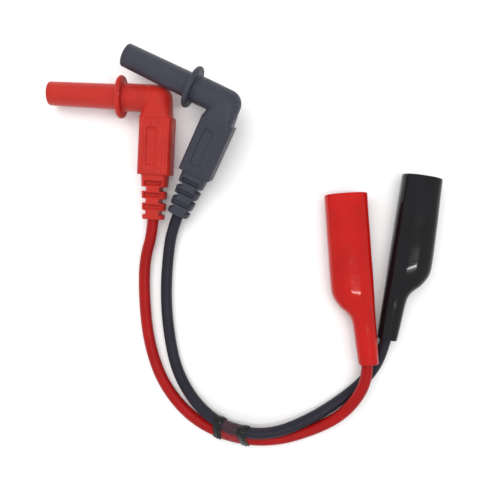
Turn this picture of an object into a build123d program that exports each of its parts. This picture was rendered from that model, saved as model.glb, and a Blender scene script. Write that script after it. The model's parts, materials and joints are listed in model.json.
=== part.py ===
from build123d import *
from math import radians, tan
import os

# A pair of test leads, one red and one black: a right-angle shrouded 4 mm plug at one end of
# each cable and a spring clip in a dip-moulded boot at the other, with the two cables held
# together by a twist tie. Millimetres, +Z up, the leads lying on the plane Z = 0.
#
# Each plug has its own frame: origin where the barrel's axis meets the grip's axis, X towards
# the barrel's mouth, Y along the grip towards the cable, Z away from the table.
# Each clip has its own frame: origin on the boot's straight side at the end of its tail, X
# towards the mouth, Y towards the lever, Z along the pivot.

os.makedirs("parts", exist_ok=True)

# Plug, shroud and contact
shroud_tip_x = 46.2
shroud_tip_radius = 4.9
shroud_root_radius = 5.2
shroud_bore_radius = 3.9
shroud_floor_x = 20.0
shroud_tail_radius = 4.2
shroud_tail_x = 8.0
mouth_round = 0.5
pin_radius = 2.0
pin_root_radius = 2.2
pin_tip_x = 43.0
pin_stub_radius = 1.5
pin_stub_x = 2.0
pin_nose_radius = 1.1
groove_radius = 1.6
groove_start_x = 26.0
groove_end_x = 38.0
spring_bulge_radius = 2.12
spring_sheet = 0.15
spring_slots = 6
spring_slot_width = 0.7
block_radius = 2.8
block_back_x = -2.6
crimp_radius = 2.2
crimp_end_y = 14.0
crimp_hole_y = 5.0

# Plug, moulded body
back_radius = 5.7
ring_x = 14.4
ring_thickness = 2.4
ring_radius = 8.85
ring_edge_round = 1.15
grip_top_y = 7.5
grip_end_y = 31.3
grip_width = 13.7
grip_thickness = 11.4
grip_edge_round = 1.6
neck_width = 12.5
neck_round = 2.4
neck_offset = 0.4
rib_count = 8
rib_pitch = 1.55
rib_radius = 0.75
rib_top_y = 8.2
rib_end_margin = 0.6
panel_x = 1.2
panel_width = 4.0
panel_top_y = 12.2
panel_end_y = 27.4
panel_depth = 0.35
relief_end_y = 49.8
relief_start_width = 11.1
relief_start_thickness = 9.8
relief_end_width = 9.0
relief_end_thickness = 8.4
relief_core_radius = 2.75
slot_width = 1.8
side_slot_places = (37.2, 42.1, 47.0)
face_slot_places = (34.7, 39.6, 44.5)
face_slot_length = 7.4

# Cable layers
cable_radius = 2.35
insulation_radius = 1.5
conductor_radius = 0.9
jacket_start_y = 43.0
jacket_bend_y = {"red": 55.2, "black": 56.0}
jacket_end_x = 5.5
insulation_end_x = 14.0
conductor_end_x = 19.0

# Boot: one station per row, as distance from the tail's end, width and height; the mouth,
# where each boot is trimmed, is as long and as wide as its own hand dipping left it
boot_mouths = {"red": (71.0, 18.3), "black": (69.3, 16.9)}
boot_height = 14.0
boot_wall = 0.8
boot_stations = (
    (0.0, 8.6, 8.6),
    (17.0, 10.0, 9.8),
    (20.5, 11.3, 10.7),
    (24.5, 15.0, 12.6),
    (29.0, 17.5, 13.8),
    (34.0, 18.0, boot_height),
)
corner_share = 0.47

# Clip
sheet = 0.8
pivot = (40.0, 8.9)
rivet_radius = 1.1
rivet_head_radius = 1.9
rivet_head_height = 0.6
rivet_running_gap = 0.05
fixed_half_width = 3.9
moving_half_width = 3.0
lever_half_width = 3.9
jaw_line_y = 8.4
jaw_tip_x = 64.0
teeth_start_x = 46.4
tooth_count = 8
tooth_depth = 1.1
barrel_gap = 3.0
barrel_length = 13.0
barrel_radius = 2.9
coil_inner_radius = 1.4
coil_wire_radius = 0.35
coil_turns = 5
spring_leg_end_x = 30.5

# Tie
tie_sheet = 0.8
wrap_width = 3.2
wrap_radius = 2.6
film_thickness = 0.25
film_length = 4.6
twist_radius = 0.85
twist_length = 12.0
twist_drop = 3.75


def aimed(heading, dip):
    """A unit direction, from its compass heading in the XY plane and its dip below it."""
    return Vector(1, 0, 0).rotate(Axis.Y, dip).rotate(Axis.Z, heading)


def plug_frame(corner, barrel_heading, barrel_dip, grip_heading, grip_dip):
    """The frame of a plug that lies with its barrel and its grip along two directions."""
    barrel = aimed(barrel_heading, barrel_dip)
    return Plane(corner, x_dir=barrel, z_dir=barrel.cross(aimed(grip_heading, grip_dip)))


def clip_frame(tail_corner, heading, dip, up):
    """The frame of a clip and its boot; up is -1 where the clip is turned over."""
    forward = aimed(heading, dip)
    return Plane(tail_corner, x_dir=forward, z_dir=up * forward.cross(aimed(heading + 90, 0)))


def across_x(frame, x):
    """The plane across a frame's X axis; its sketch axes are the frame's Y and Z."""
    return Plane(frame.location * Plane.YZ.offset(x).location)


def across_y(frame, y):
    """The plane across a frame's Y axis; its sketch axes are the frame's Z and X."""
    return Plane(frame.location * Plane.ZX.offset(y).location)


def spot(frame, x, y, z=0, turn=(0, 0, 0)):
    """A place in a frame, for solids that are put down whole."""
    return frame.location * Location((x, y, z), turn)


def write(part, name):
    part.label = name
    export_step(part, f"parts/{name}.step")


plugs = {
    "red": plug_frame((-35.8, 44.52, 9.792), 176.3, 3.5, 267.9, 5.5),
    "black": plug_frame((-7.33, 40.79, 17.4), 153.6, 3.0, 245.0, 13.8),
}
clips = {
    "red": clip_frame((55.22, -64.9, 9.72), 93.45, 2.2, 1),
    "black": clip_frame((54.71, -54.59, 7.0), 81.05, 0, -1),
}

# The free part of each cable, from the strain relief to the boot's tail
loose_points = {
    "red": (
        (-42.83, -22.2, 2.7),
        (-42.93, -38.8, 2.35),
        (-41.03, -57.3, 2.35),
        (-34.83, -75.3, 2.35),
        (-21.73, -90.23, 3.3),
        (-4.23, -97.62, 3.9),
        (12.65, -98.93, 2.7),
        (28.65, -94.43, 2.35),
        (39.95, -88.23, 4.2),
        (47.05, -79.12, 8.1),
        (50.88, -69.4, 9.15),
    ),
    "black": (
        (-33.03, -21.79, 2.35),
        (-33.83, -37.8, 2.35),
        (-32.43, -54.3, 2.35),
        (-28.83, -70.59, 2.35),
        (-19.43, -84.83, 4.6),
        (-5.73, -93.53, 7.0),
        (10.77, -95.43, 6.2),
        (27.27, -89.73, 3.4),
        (41.95, -80.83, 2.35),
        (52.45, -71.62, 2.35),
        (57.61, -60.85, 5.85),
    ),
}
cable_entry = {"red": (4.55, -0.1), "black": (4.35, 0.2)}


# The tie's turns round both cables: middle, heading of the band's width, tilt towards the
# higher cable, span of its flats
tie_turns = (
    ((-10.87, -92.58, 4.92), -24.0, 31.7, 4.9),
    ((-0.5, -95.91, 5.15), -9.0, 40.5, 4.9),
)
film_turn = ((-5.74, -94.62, 5.19), -17.5, 37.8, 4.8)


def cable_points(colour, start_y, end_x):
    """A layer's route: from inside the plug, along the loose points, into the clip."""
    plug = plugs[colour]
    clip = clips[colour]
    first = plug.from_local_coords(Vector(0, start_y, 0))
    bend = plug.from_local_coords(Vector(0, jacket_bend_y[colour], 0))
    entry = Vector(*loose_points[colour][-1])
    aim = clip.from_local_coords(Vector(jacket_end_x, *cable_entry[colour]))
    last = aim + (aim - entry).normalized() * (end_x - jacket_end_x)
    return [first, bend] + [Vector(*p) for p in loose_points[colour]] + [last]


def corner_radii(points, bend_points):
    """The radius at each corner: 0.45 of the shorter run over the tangent of half the turn."""
    radii = []
    for before, at, after in zip(bend_points, bend_points[1:], bend_points[2:]):
        shorter = min((at - before).length, (after - at).length)
        turn = (at - before).get_angle(after - at)
        radii.append(0.45 * shorter / tan(radians(turn / 2)))
    return radii


def cable_layer(colour, layer, outer, inner, start_y, end_x):
    """One layer of the cable, swept along its route and written out."""
    points = cable_points(colour, start_y, end_x)
    jacket = cable_points(colour, jacket_start_y, jacket_end_x)
    radii = corner_radii(points, jacket)
    with BuildPart() as tube:
        with BuildLine() as route:
            FilletPolyline(*points, radius=radii)
        start = points[0]
        with BuildSketch(Plane(start, z_dir=points[1] - start)) as ring:
            Circle(outer)
            if inner:
                Circle(inner, mode=Mode.SUBTRACT)
        sweep(path=route.wires()[0])
    write(tube.part, f"{colour}_{layer}")
    length = route.wires()[0].length
    area = ring.sketch.area
    print(f"{colour}_{layer}: length {length:.1f}, volume {tube.part.volume:.1f}",
          f"against section x length {area * length:.1f}")
    if layer == "cable_jacket":
        print("  corner radii:", [round(r, 1) for r in radii])
        print("  runs:", [round((b - a).length, 1) for a, b in zip(points, points[1:])])
        print("  route:", [(round(p.X, 2), round(p.Y, 2), round(p.Z, 2)) for p in points])


def shroud(colour):
    """The rigid barrel: a hollow tube round the pin, with a tail held in the moulded body."""
    plug = plugs[colour]
    ring_end_x = ring_x + ring_thickness
    with BuildPart() as barrel:
        with BuildSketch(plug):
            with BuildLine():
                Polyline(
                    (shroud_tail_x, pin_root_radius),
                    (shroud_tail_x, shroud_tail_radius),
                    (ring_x, shroud_tail_radius),
                    (ring_x, shroud_root_radius),
                    (ring_end_x, shroud_root_radius),
                    (shroud_tip_x - mouth_round, shroud_tip_radius),
                    (shroud_tip_x, shroud_tip_radius - mouth_round),
                    (shroud_tip_x, shroud_bore_radius + mouth_round / 2),
                    (shroud_tip_x - mouth_round, shroud_bore_radius),
                    (shroud_floor_x, shroud_bore_radius),
                    (shroud_floor_x, pin_root_radius),
                    close=True,
                )
            make_face()
        revolve(axis=Axis(plug.origin, plug.x_dir))
    write(barrel.part, f"{colour}_shroud")


def contact_pin(colour):
    """The plated pin, with the groove that its spring sleeve sits in and a stub for the block."""
    plug = plugs[colour]
    with BuildPart() as pin:
        with BuildSketch(plug):
            with BuildLine():
                Polyline(
                    (pin_tip_x, pin_radius - pin_nose_radius),
                    (pin_tip_x, 0),
                    (pin_stub_x, 0),
                    (pin_stub_x, pin_stub_radius),
                    (shroud_tail_x, pin_stub_radius),
                    (shroud_tail_x, pin_root_radius),
                    (shroud_floor_x, pin_root_radius),
                    (shroud_floor_x, pin_radius),
                    (groove_start_x, pin_radius),
                    (groove_start_x, groove_radius),
                    (groove_end_x, groove_radius),
                    (groove_end_x, pin_radius),
                    (pin_tip_x - pin_nose_radius, pin_radius),
                )
                RadiusArc(
                    (pin_tip_x - pin_nose_radius, pin_radius),
                    (pin_tip_x, pin_radius - pin_nose_radius),
                    pin_nose_radius,
                )
            make_face()
        revolve(axis=Axis(plug.origin, plug.x_dir))
    write(pin.part, f"{colour}_contact_pin")


def contact_spring(colour):
    """The slotted spring sleeve that bulges out of the pin's groove."""
    plug = plugs[colour]
    middle_x = (groove_start_x + groove_end_x) / 2
    low = groove_radius
    high = spring_bulge_radius
    with BuildPart() as sleeve:
        with BuildSketch(plug):
            with BuildLine():
                ThreePointArc((groove_start_x + 0.1, low), (middle_x, high - spring_sheet),
                              (groove_end_x - 0.1, low))
                ThreePointArc((groove_start_x + 0.1, low + spring_sheet), (middle_x, high),
                              (groove_end_x - 0.1, low + spring_sheet))
                Line((groove_start_x + 0.1, low), (groove_start_x + 0.1, low + spring_sheet))
                Line((groove_end_x - 0.1, low), (groove_end_x - 0.1, low + spring_sheet))
            make_face()
        revolve(axis=Axis(plug.origin, plug.x_dir))
        slot_length = groove_end_x - groove_start_x - 3
        slots = [spot(plug, middle_x, 0, 0, (360 / spring_slots * i, 0, 0))
                 for i in range(spring_slots)]
        with Locations(*slots):
            Box(slot_length, spring_slot_width, 2 * high,
                align=(Align.CENTER, Align.CENTER, Align.MIN), mode=Mode.SUBTRACT)
    write(sleeve.part, f"{colour}_contact_spring")


def contact_block(colour):
    """The brass elbow that joins the pin's stub to the crimped conductor."""
    plug = plugs[colour]
    with BuildPart() as block:
        with BuildSketch(across_x(plug, block_back_x)):
            Circle(block_radius)
        extrude(amount=shroud_tail_x - block_back_x)
        with BuildSketch(across_y(plug, 0)):
            Circle(crimp_radius)
        extrude(amount=crimp_end_y)
        with BuildSketch(across_x(plug, pin_stub_x)):
            Circle(pin_stub_radius)
        extrude(amount=shroud_tail_x - pin_stub_x, mode=Mode.SUBTRACT)
        with BuildSketch(across_y(plug, crimp_hole_y)):
            Circle(conductor_radius)
        extrude(amount=crimp_end_y - crimp_hole_y, mode=Mode.SUBTRACT)
    write(block.part, f"{colour}_contact_block")


def plug_body(colour):
    """The moulded body: guard ring, elbow, ribbed grip and slotted strain relief."""
    plug = plugs[colour]
    half_grip = grip_thickness / 2
    ring_end_x = ring_x + ring_thickness
    with BuildPart() as body:
        # Elbow: a round arm and a ball at the corner
        with BuildSketch(across_x(plug, 0)):
            Circle(back_radius)
        extrude(amount=ring_x + ring_thickness / 2)
        with Locations(spot(plug, 0, 0)):
            Sphere(back_radius)

        # Guard ring, with a rounded rim
        ring_height = ring_radius - shroud_tail_radius + ring_edge_round
        with BuildSketch(plug):
            with Locations((ring_x + ring_thickness / 2, ring_radius - ring_height / 2)):
                RectangleRounded(ring_thickness, ring_height, ring_edge_round)
        revolve(axis=Axis(plug.origin, plug.x_dir))

        # Neck: it goes from the elbow's round section to nearly the grip's own
        with BuildSketch(across_y(plug, 0)):
            RectangleRounded(grip_thickness, grip_thickness, 0.99 * half_grip)
        with BuildSketch(across_y(plug, grip_top_y)):
            with Locations((0, neck_offset)):
                RectangleRounded(grip_thickness, neck_width, neck_round)
        loft()

        # Grip
        with BuildSketch(across_y(plug, grip_top_y)):
            RectangleRounded(grip_thickness, grip_width, grip_edge_round)
        extrude(amount=grip_end_y - grip_top_y)

        # Ribs along both faces of the grip
        rib_span = (rib_count - 1) * rib_pitch
        rib_places = [(side * (half_grip - rib_radius / 3), i * rib_pitch - rib_span / 2)
                      for side in (-1, 1) for i in range(rib_count)]
        with BuildSketch(across_y(plug, rib_top_y)):
            with Locations(*rib_places):
                Circle(rib_radius)
        extrude(amount=grip_end_y - rib_end_margin - rib_top_y)

        # Plain sunken panels, one on each face
        panel_length = panel_end_y - panel_top_y
        panel_y = (panel_top_y + panel_end_y) / 2
        with Locations(*[spot(plug, panel_x, panel_y, side * (half_grip - panel_depth + 1))
                         for side in (-1, 1)]):
            Box(panel_width, panel_length, 2, mode=Mode.SUBTRACT)

        # Strain relief: a tapering block
        with BuildSketch(across_y(plug, grip_end_y)):
            RectangleRounded(relief_start_thickness, relief_start_width, 3)
        with BuildSketch(across_y(plug, relief_end_y)):
            RectangleRounded(relief_end_thickness, relief_end_width, 3)
        loft()

        # Slots cut in turn from the sides and from the faces, down to the core
        cut = grip_width
        reach = relief_core_radius + cut / 2
        side_slots = [spot(plug, side * reach, y) for y in side_slot_places for side in (-1, 1)]
        with Locations(*side_slots):
            Box(cut, slot_width, cut, mode=Mode.SUBTRACT)
        face_slots = [spot(plug, 0, y, side * reach) for y in face_slot_places for side in (-1, 1)]
        with Locations(*face_slots):
            Box(face_slot_length, slot_width, cut, mode=Mode.SUBTRACT)

        # Room for the shroud's tail, the contact block and the cable's layers
        with BuildSketch(across_x(plug, shroud_tail_x)):
            Circle(shroud_tail_radius)
        extrude(amount=ring_x - shroud_tail_x, mode=Mode.SUBTRACT)
        with BuildSketch(across_x(plug, ring_x)):
            Circle(shroud_root_radius)
        extrude(amount=ring_end_x - ring_x + 1, mode=Mode.SUBTRACT)
        with BuildSketch(across_x(plug, block_back_x)):
            Circle(block_radius)
        extrude(amount=shroud_tail_x - block_back_x, mode=Mode.SUBTRACT)
        with BuildSketch(across_y(plug, 0)):
            Circle(crimp_radius)
        extrude(amount=crimp_end_y, mode=Mode.SUBTRACT)
        with BuildSketch(across_y(plug, crimp_end_y)):
            Circle(insulation_radius)
        extrude(amount=jacket_start_y - crimp_end_y, mode=Mode.SUBTRACT)
        with BuildSketch(across_y(plug, jacket_start_y)):
            Circle(cable_radius)
        extrude(amount=relief_end_y - jacket_start_y + 1, mode=Mode.SUBTRACT)
    write(body.part, f"{colour}_plug_body")


def boot(colour):
    """The soft boot: a round tail, a shoulder on the lever's side and an oval mouth."""
    clip = clips[colour]
    length, mouth_width = boot_mouths[colour]
    stations = (*boot_stations, (length, mouth_width, boot_height))
    with BuildPart() as skin:
        for x, width, height in stations:
            with BuildSketch(across_x(clip, x)):
                with Locations((width / 2, 0)):
                    RectangleRounded(width, height, corner_share * min(width, height))
        loft(ruled=True)
        for x, width, height in stations:
            past = 1 if x == length else -1 if x == 0 else 0
            inner_width = width - 2 * boot_wall
            inner_height = height - 2 * boot_wall
            with BuildSketch(across_x(clip, x + past)):
                with Locations((width / 2, 0)):
                    RectangleRounded(inner_width, inner_height,
                                     corner_share * min(inner_width, inner_height))
        loft(ruled=True, mode=Mode.SUBTRACT)
    write(skin.part, f"{colour}_boot")


def teeth(root_y, direction):
    """A row of teeth from the jaw's tip back to its throat, as outline points."""
    pitch = (jaw_tip_x - teeth_start_x) / tooth_count
    row = []
    for i in range(tooth_count):
        x = jaw_tip_x - i * pitch
        row.append((x, root_y))
        row.append((x - pitch / 2, root_y + direction * tooth_depth))
    row.append((teeth_start_x, root_y))
    return row


def fixed_jaw(colour):
    """The fixed jaw: a channel of bent sheet with ears for the rivet and a barrel behind."""
    clip = clips[colour]
    with BuildPart() as jaw:
        with BuildSketch(clip):
            with BuildLine():
                Polyline((20, 3.0), (40, 2.6), (jaw_tip_x, 5.4), *teeth(jaw_line_y, -1),
                         (43.5, 11.0), (36.5, 11.0), (33, 6.6), (20, 6.4), close=True)
            make_face()
        extrude(amount=fixed_half_width, both=True)
        with BuildSketch(clip):
            with BuildLine():
                Polyline((19, 3.0 + sheet), (40, 2.6 + sheet), (jaw_tip_x + 1, 5.52 + sheet),
                         (jaw_tip_x + 1, 13), (19, 13), close=True)
            make_face()
        extrude(amount=fixed_half_width - sheet, both=True, mode=Mode.SUBTRACT)
        # The barrel behind is crimped on to the cable, in line with it
        route = cable_points(colour, jacket_start_y, jacket_end_x)
        cable_end = Plane(route[-1], z_dir=route[-1] - route[-2])
        with BuildSketch(cable_end.offset(barrel_gap)):
            Circle(barrel_radius)
        extrude(amount=barrel_length)
        with BuildSketch(cable_end):
            Circle(insulation_radius)
        extrude(amount=insulation_end_x - jacket_end_x, mode=Mode.SUBTRACT)
        with BuildSketch(cable_end):
            Circle(conductor_radius)
        extrude(amount=conductor_end_x - jacket_end_x, mode=Mode.SUBTRACT)
        with BuildSketch(clip):
            with Locations(pivot):
                Circle(rivet_radius)
        extrude(amount=fixed_half_width, both=True, mode=Mode.SUBTRACT)
    write(jaw.part, f"{colour}_clip_fixed_jaw")


def moving_jaw(colour):
    """The moving jaw: a narrower channel that nests in the other, with a lever for the thumb."""
    clip = clips[colour]
    with BuildPart() as jaw:
        with BuildSketch(clip):
            with BuildLine():
                Polyline((jaw_tip_x, 11.2), (44, 13.4), (36, 13.9), (35.8, 9.6), (38.4, 6.9),
                         (41.6, 6.9), *reversed(teeth(jaw_line_y + 0.2, 1)), close=True)
            make_face()
        extrude(amount=moving_half_width, both=True)
        with BuildSketch(clip):
            with BuildLine():
                Polyline((jaw_tip_x + 1, 11.09 - sheet), (44, 13.4 - sheet), (34, 14.02 - sheet),
                         (34, 6), (jaw_tip_x + 1, 6), close=True)
            make_face()
        extrude(amount=moving_half_width - sheet, both=True, mode=Mode.SUBTRACT)
        with BuildSketch(clip):
            with BuildLine():
                Polyline((28, 14.9), (31, 14.5), (37, 13.84), (37, 13.84 - sheet),
                         (31, 14.5 - sheet), (28, 14.9 - sheet), close=True)
            make_face()
        extrude(amount=lever_half_width, both=True)
        with BuildSketch(clip):
            with Locations(pivot):
                Circle(rivet_radius + rivet_running_gap)
        extrude(amount=moving_half_width, both=True, mode=Mode.SUBTRACT)
    write(jaw.part, f"{colour}_clip_moving_jaw")


def rivet(colour):
    """The pivot: a rivet headed over outside the fixed jaw's ears."""
    clip = clips[colour]
    with BuildPart() as pin:
        with BuildSketch(clip):
            with Locations(pivot):
                Circle(rivet_radius)
        extrude(amount=fixed_half_width, both=True)
        for side in (-1, 1):
            with BuildSketch(clip.offset(side * fixed_half_width)):
                with Locations(pivot):
                    Circle(rivet_head_radius)
            extrude(amount=side * rivet_head_height)
        rims = pin.edges().filter_by(GeomType.CIRCLE).group_by(SortBy.RADIUS)[-1]
        outside = [e for e in rims
                   if abs(clip.to_local_coords(e.arc_center).Z) > fixed_half_width + 0.1]
        fillet(outside, rivet_head_height * 0.7)
    write(pin.part, f"{colour}_clip_rivet")


def clip_spring(colour):
    """The torsion spring: close turns round the rivet and a leg on each jaw."""
    clip = clips[colour]
    coil_radius = coil_inner_radius + coil_wire_radius
    coil_axis = Axis(clip.from_local_coords(Vector(*pivot, 0)), clip.z_dir)
    pitch = 1.9 * coil_wire_radius
    with BuildPart() as spring:
        # The turns touch, so they are drawn as rings that run into each other
        with BuildSketch(Plane(spot(clip, *pivot) * Plane.XZ.location)):
            for i in range(coil_turns):
                with Locations((coil_radius, (i - (coil_turns - 1) / 2) * pitch)):
                    Circle(coil_wire_radius)
        revolve(axis=coil_axis)
        end_z = (coil_turns - 1) / 2 * pitch
        for side, end_y in ((-1, 4.0), (1, 13.3)):
            foot = clip.from_local_coords(
                Vector(pivot[0], pivot[1] + side * coil_radius, side * end_z))
            tip = clip.from_local_coords(Vector(spring_leg_end_x, end_y, side * end_z))
            with BuildSketch(Plane(foot, z_dir=tip - foot)):
                Circle(coil_wire_radius)
            extrude(amount=(tip - foot).length)
    write(spring.part, f"{colour}_clip_spring")


def turn_plane(middle, heading, tilt, width):
    """The plane of one side of a band that goes round two cables, one higher than the other."""
    facing = aimed(heading, 0)
    across = aimed(heading + 90, 0).rotate(Axis((0, 0, 0), facing), tilt)
    return Plane(Vector(*middle) - facing * (width / 2), x_dir=across, z_dir=facing)


def twist_tie():
    """The tie: two flat turns round both cables, and its two ends twisted together below."""
    with BuildPart() as tie:
        for middle, heading, tilt, span in tie_turns:
            with BuildSketch(turn_plane(middle, heading, tilt, wrap_width)):
                SlotCenterToCenter(span, 2 * (wrap_radius + tie_sheet))
                SlotCenterToCenter(span, 2 * wrap_radius, mode=Mode.SUBTRACT)
            extrude(amount=wrap_width)
        first, last = [turn_plane(middle, heading, tilt, 0).from_local_coords((0, -twist_drop, 0))
                       for middle, heading, tilt, _ in tie_turns]
        along = Plane((first + last) / 2, z_dir=last - first)
        with BuildSketch(along.offset(-twist_length / 2)):
            Circle(twist_radius)
        extrude(amount=twist_length)
    write(tie.part, "twist_tie")


def tie_film():
    """The clear film that the tie's two turns hold round the cables."""
    middle, heading, tilt, span = film_turn
    with BuildPart() as film:
        with BuildSketch(turn_plane(middle, heading, tilt, film_length)):
            SlotCenterToCenter(span, 2 * (wrap_radius + film_thickness))
            SlotCenterToCenter(span, 2 * wrap_radius, mode=Mode.SUBTRACT)
        extrude(amount=film_length)
    write(film.part, "tie_film")


for colour in ("red", "black"):
    shroud(colour)
    plug_body(colour)
    contact_pin(colour)
    contact_spring(colour)
    contact_block(colour)
    cable_layer(colour, "cable_jacket", cable_radius, insulation_radius,
                jacket_start_y, jacket_end_x)
    cable_layer(colour, "cable_insulation", insulation_radius, conductor_radius,
                crimp_end_y, insulation_end_x)
    cable_layer(colour, "cable_conductor", conductor_radius, 0,
                crimp_hole_y, conductor_end_x)
    boot(colour)
    fixed_jaw(colour)
    moving_jaw(colour)
    rivet(colour)
    clip_spring(colour)
twist_tie()
tie_film()
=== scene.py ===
import json
from math import cos, copysign, pi, radians, sin, tan

import bmesh
import bpy
from bpy.props import FloatProperty, FloatVectorProperty, IntProperty, PointerProperty
from mathutils import Matrix, Vector, noise


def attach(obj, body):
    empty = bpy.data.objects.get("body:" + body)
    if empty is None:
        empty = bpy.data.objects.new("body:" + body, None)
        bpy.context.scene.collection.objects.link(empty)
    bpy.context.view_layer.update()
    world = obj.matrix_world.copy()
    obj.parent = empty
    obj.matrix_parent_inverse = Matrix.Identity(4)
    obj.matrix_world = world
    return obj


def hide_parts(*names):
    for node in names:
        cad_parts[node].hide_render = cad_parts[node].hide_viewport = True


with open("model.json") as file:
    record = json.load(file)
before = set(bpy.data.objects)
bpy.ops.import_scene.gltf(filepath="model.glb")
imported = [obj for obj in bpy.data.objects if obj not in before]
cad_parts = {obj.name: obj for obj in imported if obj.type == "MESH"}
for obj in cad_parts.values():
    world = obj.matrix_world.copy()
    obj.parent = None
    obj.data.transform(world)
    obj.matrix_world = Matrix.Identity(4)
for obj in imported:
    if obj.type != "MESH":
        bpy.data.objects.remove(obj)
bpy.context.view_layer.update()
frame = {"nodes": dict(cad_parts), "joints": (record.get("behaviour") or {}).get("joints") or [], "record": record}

bl_info = {
    "name": "Test leads",
    "version": (1, 0, 0),
    "blender": (4, 5, 0),
    "location": "View3D > Sidebar > Test leads",
    "description": "A red and a black test lead: shrouded plugs, cables, booted clips and a tie",
    "category": "Object",
}

MM = 0.001
COLOURS = ("red", "black")
JOINTS = {joint["name"]: joint for joint in frame["joints"]}
MOUNTS = {mount["name"]: mount for mount in frame["record"]["mounts"]}

# Where each cable lies, from inside the plug's strain relief to the clip's crimp barrel
CABLE_ROUTES = {
    "red": (
        (-0.03831, 0.00180, 0.00561),
        (-0.03902, -0.01032, 0.00443),
        (-0.04283, -0.02220, 0.00270),
        (-0.04293, -0.03880, 0.00235),
        (-0.04103, -0.05730, 0.00235),
        (-0.03483, -0.07530, 0.00235),
        (-0.02173, -0.09023, 0.00330),
        (-0.00423, -0.09762, 0.00390),
        (0.01265, -0.09893, 0.00270),
        (0.02865, -0.09443, 0.00235),
        (0.03995, -0.08823, 0.00420),
        (0.04705, -0.07912, 0.00810),
        (0.05088, -0.06940, 0.00915),
        (0.05035, -0.05969, 0.00941),
    ),
    "black": (
        (-0.02541, 0.00316, 0.00712),
        (-0.03088, -0.00822, 0.00401),
        (-0.03303, -0.02179, 0.00235),
        (-0.03383, -0.03780, 0.00235),
        (-0.03243, -0.05430, 0.00235),
        (-0.02883, -0.07059, 0.00235),
        (-0.01943, -0.08483, 0.00460),
        (-0.00573, -0.09353, 0.00700),
        (0.01077, -0.09543, 0.00620),
        (0.02727, -0.08973, 0.00340),
        (0.04195, -0.08083, 0.00235),
        (0.05245, -0.07162, 0.00235),
        (0.05761, -0.06085, 0.00585),
        (0.05986, -0.04983, 0.00680),
    ),
}
CABLE_RADIUS = 2.35 * MM

# How far each inner layer runs on past its jacket, into the plug and into the clip
INSULATION_REACH = (29 * MM, 8.5 * MM)
CONDUCTOR_REACH = (38 * MM, 13.5 * MM)

# Places in the plug's frame and in the clip's frame
RELIEF_END = 49.8 * MM
PIN_MOUNT_X = 23 * MM
PIVOT = (40 * MM, 8.9 * MM)

# Boot stations, in millimetres: distance from the tail's end, width, height, and how square
# the section is; then each boot's own mouth, where it is trimmed
BOOT_STATIONS = (
    (0.0, 8.6, 8.6, 2.1),
    (17.0, 10.0, 9.8, 2.15),
    (20.5, 11.3, 10.7, 2.2),
    (24.5, 15.0, 12.6, 2.3),
    (29.0, 17.5, 13.8, 2.3),
    (34.0, 18.0, 14.0, 2.35),
)
BOOT_RINGS = 110
LIP_RINGS = 6
BOOT_SIDES = 72
BOOT_MOUTHS = {"red": (71.0, 18.3, 14.0, 2.4), "black": (69.3, 16.9, 14.0, 2.4)}


class Place:
    """A local frame: an origin and three unit axes."""

    def __init__(self, origin, x, y):
        self.origin = Vector(origin)
        self.x = Vector(x).normalized()
        self.z = self.x.cross(Vector(y)).normalized()
        self.y = self.z.cross(self.x)

    def at(self, x, y=0.0, z=0.0):
        return self.origin + self.x * x + self.y * y + self.z * z


def plug_place(colour):
    """The plug's frame: X to the barrel's mouth, Y along the grip, Z up."""
    pin = MOUNTS[f"{colour}_contact_pin"]
    x = Vector(pin["axis"])
    corner = Vector(pin["pos_m"]) - x * PIN_MOUNT_X
    return Place(corner, x, Vector(CABLE_ROUTES[colour][0]) - corner)


def clip_place(colour):
    """The clip's frame: X to the boot's mouth, Y to the lever's side, Z along the pivot."""
    hinge = JOINTS[f"{colour}_jaw_hinge"]
    x = Vector(JOINTS[f"{colour}_boot_slide"]["axis"])
    y = Vector(hinge["axis"]).cross(x)
    place = Place(hinge["pos_m"], x, y)
    return Place(place.at(-PIVOT[0], -PIVOT[1]), x, y)


# ---------------------------------------------------------------- settings


class LeadSizes(bpy.types.PropertyGroup):
    cable_diameter: FloatProperty(
        name="Cable diameter", description="Outside diameter of each cable's jacket",
        default=0.0047, min=0.003, max=0.006, unit="LENGTH", precision=4)
    insulation_diameter: FloatProperty(
        name="Insulation diameter", description="Outside diameter of the inner insulation",
        default=0.003, unit="LENGTH", precision=4)
    conductor_diameter: FloatProperty(
        name="Conductor diameter", description="Diameter of the stranded conductor",
        default=0.0018, unit="LENGTH", precision=4)
    boot_wall: FloatProperty(
        name="Boot wall", description="Thickness of the dipped boot",
        default=0.0008, unit="LENGTH", precision=4)
    boot_ripple: FloatProperty(
        name="Boot ripple", description="How far the dipped skin wanders from a true shape",
        default=0.00016, unit="LENGTH", precision=5)
    moulding_voxel: FloatProperty(
        name="Moulding grid", description="Grid on which the plug's soft moulding is remeshed",
        default=0.00024, unit="LENGTH", precision=5)
    moulding_softening: IntProperty(
        name="Moulding softening", description="Smoothing passes that round the moulding's edges",
        default=5, min=0, max=20)
    tie_width: FloatProperty(
        name="Tie width", description="Width of the flat tie", default=0.0034,
        unit="LENGTH", precision=4)
    tie_thickness: FloatProperty(
        name="Tie thickness", description="Thickness of the flat tie over its wire",
        default=0.0006, unit="LENGTH", precision=4)


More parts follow.
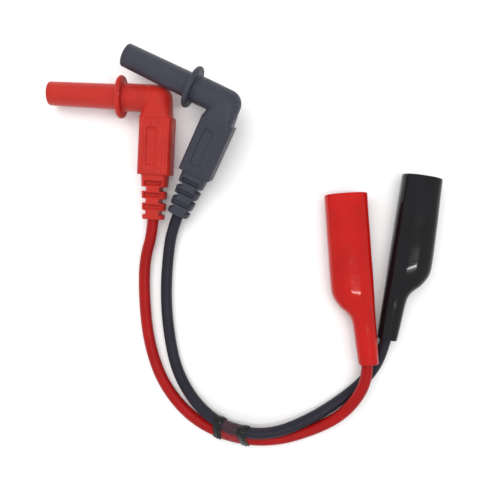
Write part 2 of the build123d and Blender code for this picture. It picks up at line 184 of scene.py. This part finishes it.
class LeadColours(bpy.types.PropertyGroup):
    red_plug: FloatVectorProperty(
        name="Red plug", description="Base colour of the red plug", subtype="COLOR", size=3,
        min=0.0, max=1.0, default=(0.44, 0.018, 0.011))
    red_cable: FloatVectorProperty(
        name="Red cable", description="Base colour of the red jacket", subtype="COLOR", size=3,
        min=0.0, max=1.0, default=(0.31, 0.006, 0.006))
    red_boot: FloatVectorProperty(
        name="Red boot", description="Base colour of the red boot", subtype="COLOR", size=3,
        min=0.0, max=1.0, default=(0.42, 0.006, 0.004))
    black_plug: FloatVectorProperty(
        name="Black plug", description="Base colour of the black plug", subtype="COLOR", size=3,
        min=0.0, max=1.0, default=(0.034, 0.036, 0.052))
    black_cable: FloatVectorProperty(
        name="Black cable", description="Base colour of the black jacket", subtype="COLOR", size=3,
        min=0.0, max=1.0, default=(0.018, 0.017, 0.026))
    black_boot: FloatVectorProperty(
        name="Black boot", description="Base colour of the black boot", subtype="COLOR", size=3,
        min=0.0, max=1.0, default=(0.006, 0.0055, 0.007))


class StageSettings(bpy.types.PropertyGroup):
    camera_height: FloatProperty(
        name="Camera height", description="Height of the camera above the table",
        default=0.27, unit="LENGTH")
    camera_spot: FloatVectorProperty(
        name="Camera spot", description="The point on the table that the camera looks down on",
        size=2, default=(-0.00123, -0.0148), subtype="XYZ", unit="LENGTH")
    lens: FloatProperty(
        name="Lens", description="Focal length on a 36 mm sensor, in millimetres",
        default=46.76, min=10.0)
    floor_size: FloatProperty(
        name="Floor size", description="Side of the pale floor", default=3.0, unit="LENGTH")
    sky_strength: FloatProperty(
        name="Sky strength", description="Strength of the even light all round", default=0.8)
    key_power: FloatProperty(
        name="Key power", description="Power of the large overhead light", default=3.6,
        subtype="POWER", unit="POWER")
    strip_power: FloatProperty(
        name="Strip power", description="Power of the narrow light that streaks the gloss",
        default=0.7, subtype="POWER", unit="POWER")


# ---------------------------------------------------------------- materials


class Surface:
    """A material's node tree, with short ways to add the nodes that these finishes share."""

    def __init__(self, name, **sockets):
        self.material = bpy.data.materials.new(name)
        self.material.use_nodes = True
        self.tree = self.material.node_tree
        self.shader = self.tree.nodes["Principled BSDF"]
        for socket, value in sockets.items():
            self.shader.inputs[socket.replace("_", " ")].default_value = value
        self.coordinates = self.tree.nodes.new("ShaderNodeTexCoord").outputs["Object"]
        self.normal = None

    def link(self, source, target):
        self.tree.links.new(source, target)

    def noise(self, scale, detail=3.0, roughness=0.5, stretch=(1, 1, 1)):
        """Soft noise; scale is in lumps to the metre."""
        mapping = self.tree.nodes.new("ShaderNodeMapping")
        mapping.inputs["Scale"].default_value = stretch
        self.link(self.coordinates, mapping.inputs["Vector"])
        texture = self.tree.nodes.new("ShaderNodeTexNoise")
        texture.inputs["Scale"].default_value = scale
        texture.inputs["Detail"].default_value = detail
        texture.inputs["Roughness"].default_value = roughness
        self.link(mapping.outputs["Vector"], texture.inputs["Vector"])
        return texture.outputs["Fac"]

    def ramp(self, source, low, high):
        """The source, which lies between 0 and 1, mapped on to low to high."""
        node = self.tree.nodes.new("ShaderNodeMapRange")
        node.inputs["From Min"].default_value = 0.3
        node.inputs["From Max"].default_value = 0.7
        node.inputs["To Min"].default_value = low
        node.inputs["To Max"].default_value = high
        self.link(source, node.inputs["Value"])
        return node.outputs["Result"]

    def mix(self, factor, first, second):
        """Colour that goes from first to second with factor."""
        node = self.tree.nodes.new("ShaderNodeMix")
        node.data_type = "RGBA"
        self.link(factor, node.inputs["Factor"])
        for socket, value in ((node.inputs["A"], first), (node.inputs["B"], second)):
            if isinstance(value, tuple):
                socket.default_value = (*value, 1.0)
            else:
                self.link(value, socket)
        return node.outputs["Result"]

    def bump(self, height, distance, strength=1.0):
        """Relief of that depth, laid over any relief added before."""
        node = self.tree.nodes.new("ShaderNodeBump")
        node.inputs["Distance"].default_value = distance
        node.inputs["Strength"].default_value = strength
        self.link(height, node.inputs["Height"])
        if self.normal:
            self.link(self.normal, node.inputs["Normal"])
        self.normal = node.outputs["Normal"]
        self.link(self.normal, self.shader.inputs["Normal"])

    def painted_edge_highlight(self):
        """1 on convex edges and 0 elsewhere: the mask of a painted highlight that makes edges paler."""
        geometry = self.tree.nodes.new("ShaderNodeNewGeometry")
        node = self.tree.nodes.new("ShaderNodeMapRange")
        node.inputs["From Min"].default_value = 0.56
        node.inputs["From Max"].default_value = 0.68
        self.link(geometry.outputs["Pointiness"], node.inputs["Value"])
        return node.outputs["Result"]

    def colour(self, source):
        self.link(source, self.shader.inputs["Base Color"])

    def roughness(self, source):
        self.link(source, self.shader.inputs["Roughness"])


def shade(colour, factor):
    """A colour made lighter or darker."""
    return tuple(min(1.0, channel * factor) for channel in colour)


def blend_colours(first, second, share):
    return tuple(a + (b - a) * share for a, b in zip(first, second))


def moulded_vinyl(name, base):
    """Soft moulded vinyl: matte, with a fine spark-eroded grain and convex edges made paler by a painted
    highlight.
    """
    surface = Surface(name, Specular_IOR_Level=0.30)
    patches = surface.ramp(surface.noise(90, detail=4), 0.0, 1.0)
    body = surface.mix(patches, shade(base, 0.90), shade(base, 1.10))
    # Painted highlight: convex edges are painted paler, standing in for the light that rounded edges catch.
    pale = blend_colours(base, (0.62, 0.58, 0.56), 0.16)
    surface.colour(surface.mix(surface.painted_edge_highlight(), body, pale))
    surface.roughness(surface.ramp(surface.noise(420, detail=5), 0.40, 0.58))
    surface.bump(surface.noise(5200, detail=2), 0.00006, 0.55)
    surface.bump(surface.noise(260, detail=3), 0.00022, 0.35)
    return surface.material


def extruded_jacket(name, base):
    """The cable's jacket: satin, with slow changes of tone and a faint drawn texture."""
    surface = Surface(name, Specular_IOR_Level=0.16)
    patches = surface.ramp(surface.noise(70, detail=3), 0.0, 1.0)
    surface.colour(surface.mix(patches, shade(base, 0.90), shade(base, 1.12)))
    surface.roughness(surface.ramp(surface.noise(700, detail=4), 0.36, 0.52))
    surface.bump(surface.noise(3600, detail=2), 0.00004, 0.6)
    surface.bump(surface.noise(150, detail=2), 0.00020, 0.4)
    return surface.material


def dipped_vinyl(name, base):
    """Dip-moulded vinyl: a wet gloss over slow runs and sags, with a few dull patches."""
    surface = Surface(name, Specular_IOR_Level=0.16, Coat_Weight=0.16, Coat_Roughness=0.05)
    patches = surface.ramp(surface.noise(55, detail=3), 0.0, 1.0)
    surface.colour(surface.mix(patches, shade(base, 0.86), shade(base, 1.14)))
    surface.roughness(surface.ramp(surface.noise(240, detail=4), 0.09, 0.18))
    surface.bump(surface.noise(85, detail=2), 0.0009, 0.22)
    surface.bump(surface.noise(900, detail=2), 0.00003, 0.4)
    return surface.material


def rigid_plastic(name, base):
    """The shroud's rigid plastic: satin, faintly drawn along its length."""
    surface = Surface(name, Specular_IOR_Level=0.34)
    patches = surface.ramp(surface.noise(110, detail=4), 0.0, 1.0)
    body = surface.mix(patches, shade(base, 0.92), shade(base, 1.08))
    # Painted highlight: convex edges are painted paler, standing in for the light that rounded edges catch.
    pale = blend_colours(base, (0.66, 0.62, 0.60), 0.14)
    surface.colour(surface.mix(surface.painted_edge_highlight(), body, pale))
    surface.roughness(surface.ramp(surface.noise(500, detail=5), 0.34, 0.48))
    surface.bump(surface.noise(4200, detail=2), 0.00004, 0.5)
    surface.bump(surface.noise(200, detail=2), 0.00018, 0.3)
    return surface.material


def metal(name, base, tarnish, low, high):
    """Metal with fine scratches, a little tarnish and uneven polish."""
    surface = Surface(name, Metallic=1.0)
    stains = surface.ramp(surface.noise(400, detail=6, roughness=0.65), 0.0, 0.75)
    surface.colour(surface.mix(stains, base, tarnish))
    surface.roughness(surface.ramp(surface.noise(1500, detail=5), low, high))
    surface.bump(surface.noise(2600, detail=3, stretch=(1, 0.12, 1)), 0.00003, 0.5)
    return surface.material


def glossy_strap(name):
    """The tie's flat vinyl: black gloss, scuffed along its folds."""
    surface = Surface(name, Specular_IOR_Level=0.22, Coat_Weight=0.15, Coat_Roughness=0.08)
    scuffs = surface.ramp(surface.noise(700, detail=5), 0.0, 1.0)
    surface.colour(surface.mix(scuffs, (0.003, 0.003, 0.004), (0.010, 0.011, 0.011)))
    surface.roughness(surface.ramp(surface.noise(500, detail=4), 0.14, 0.32))
    surface.bump(surface.noise(600, detail=3), 0.00012, 0.5)
    return surface.material


def clear_film(name):
    """Thin clear film, creased, over the cables, tinted with a painted crimson-to-pink sheen."""
    surface = Surface(name, Alpha=0.12, Specular_IOR_Level=0.9)
    painted_sheen = surface.ramp(surface.noise(350, detail=4), 0.0, 1.0)
    # Painted sheen: the film's colour is crimson to pink in patches, standing in for the pink gloss seen where it
    # lies over the red cable.
    surface.colour(surface.mix(painted_sheen, (0.08, 0.01, 0.015), (0.22, 0.05, 0.08)))
    surface.roughness(surface.ramp(surface.noise(600, detail=3), 0.06, 0.18))
    surface.bump(surface.noise(420, detail=2), 0.0003, 0.6)
    return surface.material


def floor_paint(name):
    """The studio's pale floor."""
    surface = Surface(name, Specular_IOR_Level=0.15)
    mottle = surface.ramp(surface.noise(6, detail=3), 0.0, 1.0)
    surface.colour(surface.mix(mottle, (0.90, 0.90, 0.90), (0.93, 0.93, 0.93)))
    surface.roughness(surface.ramp(surface.noise(40), 0.75, 0.9))
    return surface.material


# ---------------------------------------------------------------- mesh helpers


def new_piece(name, mesh, material):
    """An object in the scene with that mesh and that one material."""
    mesh.materials.clear()
    mesh.materials.append(material)
    piece = bpy.data.objects.new(name, mesh)
    bpy.context.scene.collection.objects.link(piece)
    return piece


def rings_mesh(name, rings, closed_along=False):
    """A mesh through rings of points that all have the same count."""
    mesh = bpy.data.meshes.new(name)
    count = len(rings[0])
    vertices = [point for ring in rings for point in ring]
    faces = []
    last = len(rings) if closed_along else len(rings) - 1
    for i in range(last):
        first, second = i * count, (i + 1) % len(rings) * count
        for j in range(count):
            k = (j + 1) % count
            faces.append((first + j, first + k, second + k, second + j))
    mesh.from_pydata(vertices, [], faces)
    tidy_normals(mesh)
    return mesh


def tidy_normals(mesh):
    """Faces turned outwards and shaded smooth."""
    work = bmesh.new()
    work.from_mesh(mesh)
    bmesh.ops.recalc_face_normals(work, faces=work.faces)
    work.to_mesh(mesh)
    work.free()
    mesh.polygons.foreach_set("use_smooth", [True] * len(mesh.polygons))


def rounded(points, radius, steps=5):
    """A closed outline with each corner rounded; points are (x, y) or (x, y, own radius)."""
    outline = []
    for i, point in enumerate(points):
        before, at, after = (Vector(points[j][:2]) for j in (i - 1, i, (i + 1) % len(points)))
        reach = point[2] if len(point) > 2 else radius
        start = at + (before - at).normalized() * reach
        end = at + (after - at).normalized() * reach
        for step in range(steps + 1):
            t = step / steps
            outline.append(start * (1 - t) ** 2 + at * 2 * t * (1 - t) + end * t ** 2)
    return outline


def lathe(name, place, outline, material, sides=96):
    """A closed outline of (distance along X, radius) turned about the place's X axis."""
    rings = []
    for i in range(sides):
        turn = 2 * pi * i / sides
        rings.append([place.at(x, r * cos(turn), r * sin(turn)) for x, r in outline])
    return new_piece(name, rings_mesh(name, rings, closed_along=True), material)


def smooth_step(points, x):
    """Catmull-Rom interpolation of rows (x, value, ...) at x."""
    last = len(points) - 1
    i = max(k for k in range(last) if points[k][0] <= x or k == 0)
    t = (x - points[i][0]) / (points[i + 1][0] - points[i][0])
    values = []
    for column in range(1, len(points[0])):
        slopes = []
        for k in (i, i + 1):
            low, high = points[max(k - 1, 0)], points[min(k + 1, last)]
            slopes.append((high[column] - low[column]) / (high[0] - low[0]))
        step = points[i + 1][0] - points[i][0]
        a, b = points[i][column], points[i + 1][column]
        values.append(
            a * (2 * t ** 3 - 3 * t ** 2 + 1) + b * (3 * t ** 2 - 2 * t ** 3)
            + step * (slopes[0] * (t ** 3 - 2 * t ** 2 + t) + slopes[1] * (t ** 3 - t ** 2)))
    return values


def free_line(name, points, diameter, material, sides=10):
    """A round tube along one smooth open spline."""
    curve = bpy.data.curves.new(name, "CURVE")
    curve.dimensions = "3D"
    curve.bevel_depth = diameter / 2
    curve.bevel_resolution = sides
    curve.use_fill_caps = True
    spline = curve.splines.new("NURBS")
    spline.points.add(len(points) - 1)
    for point, place in zip(spline.points, points):
        point.co = (*place, 1.0)
    spline.order_u = 3
    spline.use_endpoint_u = True
    spline.resolution_u = 20
    if material:
        curve.materials.append(material)
    piece = bpy.data.objects.new(name, curve)
    bpy.context.scene.collection.objects.link(piece)
    return piece


def dress(node, material):
    """A carried-over CAD node gets this material."""
    node = frame["nodes"][node]
    node.data.materials.clear()
    node.data.materials.append(material)


# ---------------------------------------------------------------- pieces


class LEADS_OT_cables(bpy.types.Operator):
    """Lay both cables: jacket, inner insulation and conductor"""

    bl_idname = "test_leads.cables"
    bl_label = "Cables"

    def execute(self, context):
        sizes = context.scene.test_leads_sizes
        colours = context.scene.test_leads_colours
        insulation = extruded_jacket("inner_insulation", (0.72, 0.72, 0.70))
        copper = metal("tinned_copper", (0.72, 0.46, 0.30), (0.45, 0.22, 0.12), 0.3, 0.5)
        for colour in COLOURS:
            route = [Vector(point) for point in CABLE_ROUTES[colour]]
            jacket = free_line(
                f"{colour}_cable", route, sizes.cable_diameter,
                extruded_jacket(f"{colour}_jacket", tuple(getattr(colours, f"{colour}_cable"))))
            for layer, slot, diameter, reach, material in (
                ("insulation", "inner_insulation", sizes.insulation_diameter,
                 INSULATION_REACH, insulation),
                ("conductor", "tinned_copper", sizes.conductor_diameter,
                 CONDUCTOR_REACH, copper),
            ):
                first = route[0] + (route[0] - route[1]).normalized() * reach[0]
                last = route[-1] + (route[-1] - route[-2]).normalized() * reach[1]
                core = free_line(
                    f"{colour}_{layer}", [first, *route, last], diameter, material, 4)
                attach(core, "leads")
                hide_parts(f"{colour}_cable_{layer}")
            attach(jacket, "leads")
            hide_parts(f"{colour}_cable_jacket")
            plug_place(colour).at(0, RELIEF_END)
        return {"FINISHED"}


# The barrel's profile, in millimetres: distance along the pin, radius and corner rounding
BARREL_PROFILE = (
    (8.0, 4.2, 0.1),
    (14.4, 4.2, 0.1),
    (14.4, 5.2, 0.1),
    (16.8, 5.2, 0.4),
    (46.2, 4.9, 0.75),
    (46.2, 3.9, 0.25),
    (20.0, 3.9, 0.1),
    (20.0, 2.2, 0.1),
    (8.0, 2.2, 0.1),
)


class LEADS_OT_shrouds(bpy.types.Operator):
    """Turn the rigid barrels round the plugs' pins"""

    bl_idname = "test_leads.shrouds"
    bl_label = "Shrouds"

    def execute(self, context):
        colours = context.scene.test_leads_colours
        outline = rounded(
            [(x * MM, r * MM, lip * MM) for x, r, lip in BARREL_PROFILE], 0.1 * MM)
        for colour in COLOURS:
            material = rigid_plastic(
                f"{colour}_shroud_plastic", tuple(getattr(colours, f"{colour}_plug")))
            piece = lathe(f"{colour}_barrel", plug_place(colour), outline, material)
            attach(piece, "leads")
            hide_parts(f"{colour}_shroud")
        return {"FINISHED"}


class LEADS_OT_plug_bodies(bpy.types.Operator):
    """Mould the plugs' bodies, with every edge softened"""

    bl_idname = "test_leads.plug_bodies"
    bl_label = "Plug bodies"

    def execute(self, context):
        sizes = context.scene.test_leads_sizes
        colours = context.scene.test_leads_colours
        for colour in COLOURS:
            material = moulded_vinyl(
                f"{colour}_plug_vinyl", tuple(getattr(colours, f"{colour}_plug")))
            mesh = softened(frame["nodes"][f"{colour}_plug_body"], f"{colour}_moulding", sizes)
            piece = new_piece(f"{colour}_moulding", mesh, material)
            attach(piece, "leads")
            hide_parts(f"{colour}_plug_body")
        return {"FINISHED"}


def softened(node, name, sizes):
    """A finely remeshed copy of a node's mesh, with its edges rounded."""
    mesh = node.data.copy()
    work = bmesh.new()
    work.from_mesh(mesh)
    bmesh.ops.remove_doubles(work, verts=work.verts, dist=1e-6)
    work.to_mesh(mesh)
    work.free()
    holder = bpy.data.objects.new(name, mesh)
    bpy.context.scene.collection.objects.link(holder)
    remesh = holder.modifiers.new("Grid", "REMESH")
    remesh.mode = "VOXEL"
    remesh.voxel_size = sizes.moulding_voxel
    remesh.use_smooth_shade = True
    smooth = holder.modifiers.new("Soften", "SMOOTH")
    smooth.factor = 0.5
    smooth.iterations = sizes.moulding_softening
    result = bpy.data.meshes.new_from_object(
        holder.evaluated_get(bpy.context.evaluated_depsgraph_get()))
    bpy.data.objects.remove(holder)
    result.polygons.foreach_set("use_smooth", [True] * len(result.polygons))
    result.name = name
    return result


class LEADS_OT_contacts(bpy.types.Operator):
    """Finish the pins, their spring sleeves and the contact blocks"""

    bl_idname = "test_leads.contacts"
    bl_label = "Contacts"

    def execute(self, context):
        plated = metal("plated_brass", (0.86, 0.84, 0.78), (0.55, 0.50, 0.40), 0.14, 0.30)
        sleeve = metal("plated_spring", (0.88, 0.78, 0.52), (0.60, 0.45, 0.25), 0.16, 0.32)
        brass = metal("bare_brass", (0.82, 0.63, 0.30), (0.50, 0.33, 0.14), 0.28, 0.46)
        for colour in COLOURS:
            dress(f"{colour}_contact_pin", plated)
            dress(f"{colour}_contact_spring", sleeve)
            dress(f"{colour}_contact_block", brass)
        return {"FINISHED"}


class LEADS_OT_boots(bpy.types.Operator):
    """Dip the boots: a round tail, a shoulder on the lever's side and an oval mouth"""

    bl_idname = "test_leads.boots"
    bl_label = "Boots"

    def execute(self, context):
        sizes = context.scene.test_leads_sizes
        colours = context.scene.test_leads_colours
        for colour in COLOURS:
            material = dipped_vinyl(
                f"{colour}_boot_vinyl", tuple(getattr(colours, f"{colour}_boot")))
            mesh = rings_mesh(f"{colour}_skin", boot_rings(colour, sizes), closed_along=True)
            piece = new_piece(f"{colour}_dipped_boot", mesh, material)
            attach(piece, f"{colour}_boot")
            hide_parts(f"{colour}_boot")
        return {"FINISHED"}


def boot_rings(colour, sizes):
    """Rings of points over the outside, round the mouth's rim, back inside and round the tail's."""
    place = clip_place(colour)
    stations = (*BOOT_STATIONS, BOOT_MOUTHS[colour])
    length = stations[-1][0] * MM
    wall = sizes.boot_wall
    steps, lip_steps, sides = BOOT_RINGS, LIP_RINGS, BOOT_SIDES
    rings = []
    for i in range(steps + 1):
        x = wall / 2 + (length - wall) * i / steps
        rings.append(boot_ring(place, stations, x, 0.0, sides, sizes.boot_ripple))
    for i in range(1, lip_steps):
        turn = pi * i / lip_steps
        x = length - wall / 2 + sin(turn) * wall / 2
        rings.append(boot_ring(place, stations, x, (1 - cos(turn)) * wall / 2, sides, sizes.boot_ripple))
    for i in range(steps + 1):
        x = length - wall / 2 - (length - wall) * i / steps
        rings.append(boot_ring(place, stations, x, wall, sides, sizes.boot_ripple))
    for i in range(1, lip_steps):
        turn = pi * i / lip_steps
        x = wall / 2 - sin(turn) * wall / 2
        rings.append(boot_ring(place, stations, x, (1 + cos(turn)) * wall / 2, sides, sizes.boot_ripple))
    return rings


def boot_ring(place, stations, x, inset, sides, ripple):
    """One ring of the boot, at that distance from the tail's end and that far inside the skin."""
    at = min(max(x / MM, 0.0), stations[-1][0])
    width, height, squareness = smooth_step(stations, at)
    half_width = width * MM / 2 - inset
    half_height = height * MM / 2 - inset
    points = []
    for j in range(sides):
        turn = 2 * pi * j / sides
        across = copysign(abs(cos(turn)) ** (2 / squareness), cos(turn)) * half_width
        up = copysign(abs(sin(turn)) ** (2 / squareness), sin(turn)) * half_height
        outward = Vector((across, up)).normalized()
        waver = noise.noise(Vector((x * 70, across * 130, up * 130))) * ripple - ripple
        points.append(place.at(
            x, width * MM / 2 + across + outward.x * waver, up + outward.y * waver))
    return points


class LEADS_OT_clips(bpy.types.Operator):
    """Finish the clips' jaws, rivets and springs"""

    bl_idname = "test_leads.clips"
    bl_label = "Clips"

    def execute(self, context):
        sheet = metal("plated_steel", (0.70, 0.70, 0.68), (0.42, 0.40, 0.37), 0.24, 0.42)
        rivet = metal("rivet_steel", (0.66, 0.66, 0.65), (0.40, 0.38, 0.36), 0.28, 0.45)
        wire = metal("spring_steel", (0.46, 0.46, 0.48), (0.26, 0.25, 0.24), 0.22, 0.38)
        for colour in COLOURS:
            dress(f"{colour}_clip_fixed_jaw", sheet)
            dress(f"{colour}_clip_moving_jaw", sheet)
            dress(f"{colour}_clip_rivet", rivet)
            dress(f"{colour}_clip_spring", wire)
        return {"FINISHED"}


# Each turn of the tie: a spot between the cables, the way the cables run there, and the way
# the band's width faces over them, in degrees
TIE_TURNS = (
    ((-0.01150, -0.09258, 0.0050), -24.0, 0.0),
    ((-0.00090, -0.09591, 0.0050), -9.0, 18.0),
)
TWIST_DROP = 3.75 * MM
CORNER_SHARPNESS = 2.2
CROSSING_RANGE = 20 * MM


class LEADS_OT_tie(bpy.types.Operator):
    """Wrap the twist tie and its clear film round both cables"""

    bl_idname = "test_leads.tie"
    bl_label = "Tie"

    def execute(self, context):
        sizes = context.scene.test_leads_sizes
        lines = [centre_line(colour) for colour in COLOURS]
        strap = glossy_strap("tie_vinyl")
        mesh = bpy.data.meshes.new("tie")
        work = bmesh.new()
        ends = []
        for spot, along, facing in TIE_TURNS:
            place, spacing = between_cables(lines, Vector(spot), radians(along))
            work.from_mesh(band_mesh(place, spacing, tan(radians(facing - along)), sizes))
            ends.append(place.at(0, 0, -TWIST_DROP))
        for phase in (0.0, pi):
            work.from_mesh(twisted_end(*ends, phase))
        work.to_mesh(mesh)
        work.free()
        mesh.polygons.foreach_set("use_smooth", [True] * len(mesh.polygons))
        tie = new_piece("wrapped_tie", mesh, strap)
        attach(tie, "leads")
        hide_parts("twist_tie")
        film = new_piece("wrapped_film", film_mesh(lines), clear_film("tie_film"))
        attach(film, "leads")
        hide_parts("tie_film")
        return {"FINISHED"}


def centre_line(colour):
    """Points along the middle of a cable, in order, as its own spline gives them."""
    route = [Vector(point) for point in CABLE_ROUTES[colour]]
    curve = free_line("centre", route, 0.0, None)
    mesh = bpy.data.meshes.new_from_object(
        curve.evaluated_get(bpy.context.evaluated_depsgraph_get()))
    points = [vertex.co.copy() for vertex in mesh.vertices]
    bpy.data.objects.remove(curve)
    bpy.data.meshes.remove(mesh)
    return points


def between_cables(lines, spot, along):
    """The place midway between both cables beside a spot, and how far apart they are there.

    Its X runs along the cables, its Y from the red cable to the black one.
    """
    run = Vector((cos(along), sin(along), 0))
    red, black = (crossing(line, spot, run) for line in lines)
    return Place((red + black) / 2, run, black - red), (black - red).length


def crossing(line, spot, run):
    """Where a line passes through the upright plane at a spot, square to a direction."""
    for start, end in zip(line, line[1:]):
        before, after = (start - spot).dot(run), (end - spot).dot(run)
        if before <= 0 < after and (start - spot).length < CROSSING_RANGE:
            return start.lerp(end, before / (before - after))
    raise ValueError("the line passes nowhere near the spot")


def loop_point(turn, spacing, reach):
    """A point of a taut loop round two circles: across, up and the outward direction."""
    across, up = cos(turn), sin(turn)
    side = spacing / 2 * max(-1.0, min(1.0, across * CORNER_SHARPNESS))
    return side + across * reach, up * reach, Vector((across, up))


def band_mesh(place, spacing, skew, sizes):
    """One flat turn round both cables, slanted along them by skew for each metre across."""
    half = sizes.tie_width / 2
    thin = sizes.tie_thickness
    inner = CABLE_RADIUS + 0.15 * MM
    section = rounded(
        [(-half, 0.0), (-half, thin * 0.55), (-half * 0.35, thin * 0.6), (0.0, thin),
         (half * 0.35, thin * 0.6), (half, thin * 0.55), (half, 0.0)], thin * 0.2, 3)
    rings = []
    steps = 96
    for i in range(steps):
        turn = 2 * pi * i / steps
        side, up, outward = loop_point(turn, spacing, inner)
        crinkle = 0.06 * MM * noise.noise(Vector((side * 900, up * 900, skew)))
        shift = -side * skew * (0.3 + 0.7 * sin(turn))
        ring = []
        for x, lift in section:
            out = outward * (lift + crinkle)
            ring.append(place.at(x + shift, side + out.x, up + out.y))
        rings.append(ring)
    return rings_mesh("band", rings, closed_along=True)


def twisted_end(first, last, phase):
    """One strand of the tie's two ends, twisted together under the cables."""
    place = Place((first + last) / 2, last - first, Vector((0, 0, 1)))
    length, radius, pitch = 11.6 * MM, 0.42 * MM, 3.4 * MM
    rings = []
    steps, sides = 90, 10
    for i in range(steps + 1):
        s = i / steps - 0.5
        turn = phase + 2 * pi * s * length / pitch
        flat = place.y * cos(turn) + place.z * sin(turn)
        edge = place.z * cos(turn) - place.y * sin(turn)
        centre = place.at(s * length) + flat * radius
        end = min(1.0, (0.5 - abs(s)) * 40 + 0.15) * MM
        ring = []
        for j in range(sides):
            spin = 2 * pi * j / sides
            ring.append(centre + (flat * cos(spin) * 0.36 + edge * sin(spin) * 0.6) * end)
        rings.append(ring)
    return rings_mesh("twist", rings)


def film_mesh(lines):
    """Clear film pulled round both cables between the tie's two turns."""
    (first, start_run, _), (last, end_run, _) = TIE_TURNS
    first, last = Vector(first), Vector(last)
    steps, sides = 26, 80
    outer, inner = [], []
    for i in range(steps + 1):
        t = i / steps
        share = 0.10 + 0.80 * t
        along = radians(start_run + (end_run - start_run) * share)
        place, spacing = between_cables(lines, first.lerp(last, share), along)
        for store, reach in ((outer, 0.25 * MM), (inner, 0.13 * MM)):
            ring = []
            for j in range(sides):
                side, up, outward = loop_point(
                    2 * pi * j / sides, spacing, CABLE_RADIUS + reach)
                crease = 0.10 * MM * noise.noise(Vector((side * 700, up * 500, t * 3)))
                ring.append(place.at(0, side + outward.x * crease, up + outward.y * crease))
            store.append(ring)
    return rings_mesh("film", outer + inner[::-1], closed_along=True)


class LEADS_OT_stage(bpy.types.Operator):
    """Set out the pale floor, the soft lights and the camera"""

    bl_idname = "test_leads.stage"
    bl_label = "Stage"

    def execute(self, context):
        settings = context.scene.test_leads_stage
        self.floor(settings)
        self.lights(settings)
        self.camera(settings)
        return {"FINISHED"}

    def floor(self, settings):
        half = settings.floor_size / 2
        mesh = bpy.data.meshes.new("studio_floor")
        corners = [(-half, -half, 0), (half, -half, 0), (half, half, 0), (-half, half, 0)]
        mesh.from_pydata(corners, [], [(0, 1, 2, 3)])
        piece = new_piece("studio_floor", mesh, floor_paint("studio_floor"))

    def lights(self, settings):
        """An even sky, a broad key light and a narrow strip that streaks the glossy boots."""
        world = bpy.data.worlds.new("studio_sky")
        bpy.context.scene.world = world
        world.use_nodes = True
        sky = world.node_tree.nodes["Background"]
        sky.inputs["Color"].default_value = (1.0, 1.0, 1.0, 1.0)
        sky.inputs["Strength"].default_value = settings.sky_strength
        for name, place, target, size, power, glossy in (
            ("key_light", (-0.20, 0.25, 0.80), (0, 0, 0), (0.6, 0.6), settings.key_power, False),
            ("strip_light", (0.17, -0.075, 0.61), (0.06, -0.075, 0), (0.014, 0.25),
             settings.strip_power, True),
        ):
            light = bpy.data.lights.new(name, "AREA")
            light.shape = "RECTANGLE"
            light.size, light.size_y = size
            light.energy = power
            lamp = bpy.data.objects.new(name, light)
            aim = Vector(target) - Vector(place)
            lamp.matrix_world = Matrix.Translation(place) @ aim.to_track_quat(
                "-Z", "Y").to_matrix().to_4x4()
            lamp.visible_glossy = glossy
            bpy.context.scene.collection.objects.link(lamp)
        bpy.context.scene.view_settings.view_transform = "Standard"

    def camera(self, settings):
        camera = bpy.data.cameras.new("camera")
        camera.lens = settings.lens
        camera.sensor_width = 36.0
        camera.clip_start = 0.01
        holder = bpy.data.objects.new("camera", camera)
        holder.location = (*settings.camera_spot, settings.camera_height)
        bpy.context.scene.collection.objects.link(holder)
        bpy.context.scene.camera = holder


PIECES = (
    LEADS_OT_stage,
    LEADS_OT_cables,
    LEADS_OT_shrouds,
    LEADS_OT_plug_bodies,
    LEADS_OT_contacts,
    LEADS_OT_boots,
    LEADS_OT_clips,
    LEADS_OT_tie,
)


class LEADS_PT_panel(bpy.types.Panel):
    """The test leads' settings, and a button for each group of pieces"""

    bl_label = "Test leads"
    bl_idname = "LEADS_PT_panel"
    bl_space_type = "VIEW_3D"
    bl_region_type = "UI"
    bl_category = "Test leads"

    def draw(self, context):
        for settings in SETTINGS.values():
            group = getattr(context.scene, settings)
            for name in group.bl_rna.properties.keys():
                if name not in ("rna_type", "name"):
                    self.layout.prop(group, name)
        for piece in PIECES:
            self.layout.operator(piece.bl_idname)


SETTINGS = {
    LeadSizes: "test_leads_sizes",
    LeadColours: "test_leads_colours",
    StageSettings: "test_leads_stage",
}


def register():
    for group, name in SETTINGS.items():
        bpy.utils.register_class(group)
        setattr(bpy.types.Scene, name, PointerProperty(type=group))
    for shown in (*PIECES, LEADS_PT_panel):
        bpy.utils.register_class(shown)


def unregister():
    for shown in (LEADS_PT_panel, *reversed(PIECES)):
        bpy.utils.unregister_class(shown)
    for group, name in SETTINGS.items():
        delattr(bpy.types.Scene, name)
        bpy.utils.unregister_class(group)


def main():
    register()
    for piece in PIECES:
        group, name = piece.bl_idname.split(".")
        if getattr(getattr(bpy.ops, group), name)() != {"FINISHED"}:
            raise RuntimeError(f"{piece.bl_label} was not finished")


if __name__ == "__main__":
    main()
